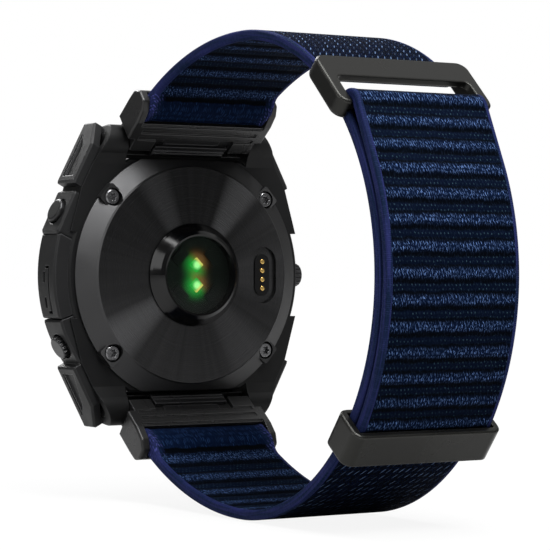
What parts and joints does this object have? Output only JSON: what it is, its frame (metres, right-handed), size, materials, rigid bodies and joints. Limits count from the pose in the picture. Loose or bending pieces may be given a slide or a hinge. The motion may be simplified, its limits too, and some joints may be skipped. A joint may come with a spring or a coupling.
{
  "type": "sports watch with nylon band",
  "caption": "Rugged round sports watch on a closed hook-and-loop nylon webbing band, with quick-release connectors, rectangular buckle and sliding keeper.",
  "frame": {"origin": "centre of the wrist opening, on the axis of the band's round half", "axes": "+X towards 3 o'clock and along the wrist, +Z towards 12 o'clock, the dial faces -Y and the wrist is on the +Y side of the case"},
  "size_m": [0.0552, 0.0943, 0.084],
  "materials": {
    "case_polymer": "fine moulded grain",
    "guard_polymer": "fine moulded grain",
    "bezel_metal": "satin dark coating",
    "dark_screw": "satin",
    "lens_glass": "polished",
    "dial_print": "matt with pale ticks",
    "display_face": "dark display",
    "board": "solder mask",
    "battery_can": "satin",
    "motor_can": "satin",
    "flex_film": "film",
    "cover_metal": "dark radial brushing",
    "steel_screw": "satin",
    "seal_rubber": "matt",
    "sensor_gloss": "polished",
    "sensor_glass": "polished dark tint",
    "lamp_green": "lit lamp",
    "photodiode": "dark die",
    "insert_polymer": "matt",
    "contact_gold": "gold plated",
    "button_metal": "satin dark coating",
    "spring_steel": "bright",
    "pin_steel": "dark satin",
    "connector_metal": "satin black",
    "latch_metal": "satin black",
    "webbing": "navy ribbed webbing with violet-blue selvage",
    "hook_tape": "hook tape",
    "buckle_metal": "satin gunmetal"
  },
  "bodies": {
    "case": {"battery": "battery_can", "bezel": "bezel_metal", "bezel_screws": "dark_screw", "button_seals": "seal_rubber", "charge_contacts": "contact_gold", "charge_insert": "insert_polymer", "dial_ring": "dial_print", "display_module": "display_face", "lens": "lens_glass", "lower_left_guard": "guard_polymer", "lower_lug_pin": "pin_steel", "lower_right_guard": "guard_polymer", "main_board": "board", "mid_case": "case_polymer", "rear_cover": "cover_metal", "rear_cover_screws": "steel_screw", "rear_gasket": "seal_rubber", "sensor_board": "board", "sensor_lamps": "lamp_green", "sensor_photodiodes": "photodiode", "sensor_ring": "sensor_gloss", "sensor_window": "sensor_glass", "start_button_guard": "guard_polymer", "switch_flex": "flex_film", "upper_left_guard": "guard_polymer", "upper_lug_pin": "pin_steel", "upper_right_guard": "guard_polymer", "vent_cover": "guard_polymer", "vibration_motor": "motor_can"},
    "upper_band": {"upper_connector": "connector_metal", "upper_strap_bar": "pin_steel", "upper_strap": "webbing", "upper_latch_spring": "spring_steel"},
    "upper_latch_body": {"upper_latch": "latch_metal"},
    "buckle_body": {"buckle": "buckle_metal", "buckle_hinge_bar": "pin_steel"},
    "lower_band": {"lower_connector": "connector_metal", "lower_strap_bar": "pin_steel", "lower_strap": "webbing", "lower_latch_spring": "spring_steel", "hook_tape": "hook_tape"},
    "lower_latch_body": {"lower_latch": "latch_metal"},
    "keeper_body": {"keeper": "buckle_metal"},
    "start_button_body": {"start_button": "button_metal", "start_button_clip": "spring_steel"},
    "back_button_body": {"back_button": "button_metal", "back_button_clip": "spring_steel"},
    "light_button_body": {"light_button": "button_metal", "light_button_clip": "spring_steel"},
    "up_button_body": {"up_button": "button_metal", "up_button_clip": "spring_steel"},
    "down_button_body": {"down_button": "button_metal", "down_button_clip": "spring_steel"}
  },
  "joints": [
    {"name": "lower_band_pivot", "type": "hinge", "parent": "case", "child": "lower_band", "pos_m": [0, -0.042, -0.0249], "axis": [1, 0, 0], "range_deg": [-1.24, 1.24]},
    {"name": "upper_band_pivot", "type": "hinge", "parent": "case", "child": "upper_band", "pos_m": [0, -0.042, 0.0249], "axis": [1, 0, 0], "range_deg": [-2.36, 2.36]},
    {"name": "buckle_pivot", "type": "hinge", "parent": "upper_band", "child": "buckle_body", "pos_m": [0, 0.02513, 0.03293], "axis": [1, 0, 0], "range_deg": [-10.24, 10.24]},
    {"name": "keeper_slide", "type": "hinge", "parent": "lower_band", "child": "keeper_body", "pos_m": [0, 0, 0], "axis": [1, 0, 0], "range_deg": [-22, 45]},
    {"name": "upper_latch_slide", "type": "slide", "parent": "upper_band", "child": "upper_latch_body", "axis": [0, 0.788, 0.6157], "range_m": [0, 0.0016], "stiffness_N_per_m": 400, "springref_m": -0.0008, "deforming": ["upper_latch_spring"]},
    {"name": "lower_latch_slide", "type": "slide", "parent": "lower_band", "child": "lower_latch_body", "axis": [0, 0.788, -0.6157], "range_m": [0, 0.0016], "stiffness_N_per_m": 400, "springref_m": -0.0008, "deforming": ["lower_latch_spring"]},
    {"name": "start_button_press", "type": "slide", "parent": "case", "child": "start_button_body", "axis": [-0.9063, 0, -0.4226], "range_m": [0, 0.0009], "stiffness_N_per_m": 1500, "springref_m": -0.0003},
    {"name": "back_button_press", "type": "slide", "parent": "case", "child": "back_button_body", "axis": [-0.8788, 0, 0.4772], "range_m": [0, 0.0009], "stiffness_N_per_m": 1500, "springref_m": -0.0003},
    {"name": "light_button_press", "type": "slide", "parent": "case", "child": "light_button_body", "axis": [0.8988, 0, -0.4384], "range_m": [0, 0.0009], "stiffness_N_per_m": 1500, "springref_m": -0.0003},
    {"name": "up_button_press", "type": "slide", "parent": "case", "child": "up_button_body", "axis": [1, 0, 0], "range_m": [0, 0.0009], "stiffness_N_per_m": 1500, "springref_m": -0.0003},
    {"name": "down_button_press", "type": "slide", "parent": "case", "child": "down_button_body", "axis": [0.8704, 0, 0.4924], "range_m": [0, 0.0009], "stiffness_N_per_m": 1500, "springref_m": -0.0003}
  ],
  "couplings": [
    {"joint": "upper_band_pivot", "follows": "lower_band_pivot", "ratio": 1.8932},
    {"joint": "buckle_pivot", "follows": "lower_band_pivot", "ratio": -8.2409}
  ]
}
